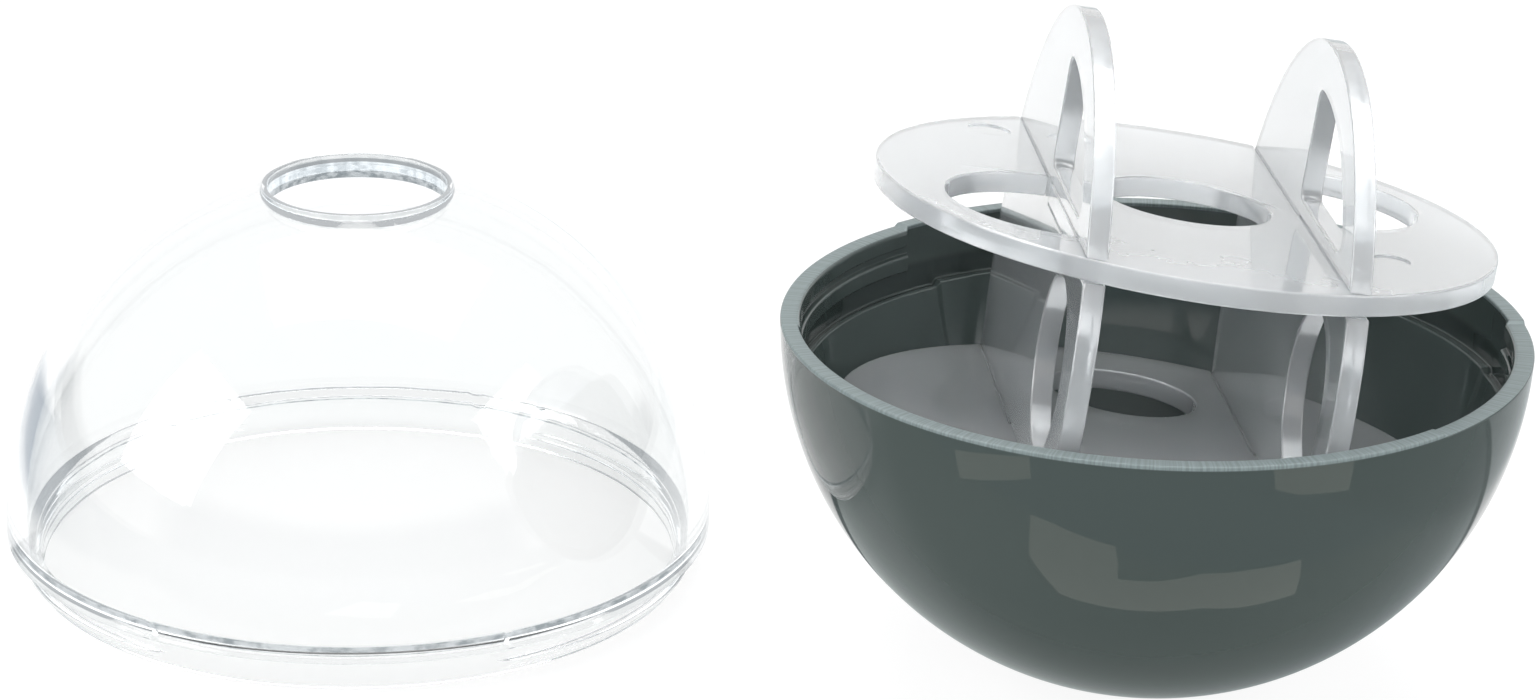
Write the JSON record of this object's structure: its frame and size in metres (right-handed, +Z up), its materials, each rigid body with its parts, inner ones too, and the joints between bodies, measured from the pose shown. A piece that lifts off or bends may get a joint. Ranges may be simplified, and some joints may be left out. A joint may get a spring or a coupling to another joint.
{
  "type": "treat dispensing ball",
  "caption": "Opened pet treat ball: clear dome with a round treat hole, dark bowl, and a labyrinth of crossed round plates leaning in the bowl.",
  "frame": {"origin": "on the floor, midway between the axes of the standing dome and the bowl", "axes": "+Z up, +X from the dome's axis to the bowl's axis"},
  "size_m": [0.1496, 0.07, 0.0646],
  "materials": {
    "clear_dome": "clear polished plastic",
    "bowl": "gloss",
    "labyrinth": "milky translucent gloss"
  },
  "bodies": {
    "bowl": {"bowl": "bowl"},
    "labyrinth": {"upper_disc": "labyrinth", "lower_disc": "labyrinth", "left_plate": "labyrinth", "right_plate": "labyrinth"},
    "dome": {"clear_dome": "clear_dome"}
  },
  "joints": [
    {"name": "dome_lift", "type": "slide", "parent": "bowl", "child": "dome", "axis": [0, 0, 1], "range_m": [0, 0.07]},
    {"name": "labyrinth_lift", "type": "slide", "parent": "bowl", "child": "labyrinth", "axis": [0, 0, 1], "range_m": [0, 0.05]}
  ]
}
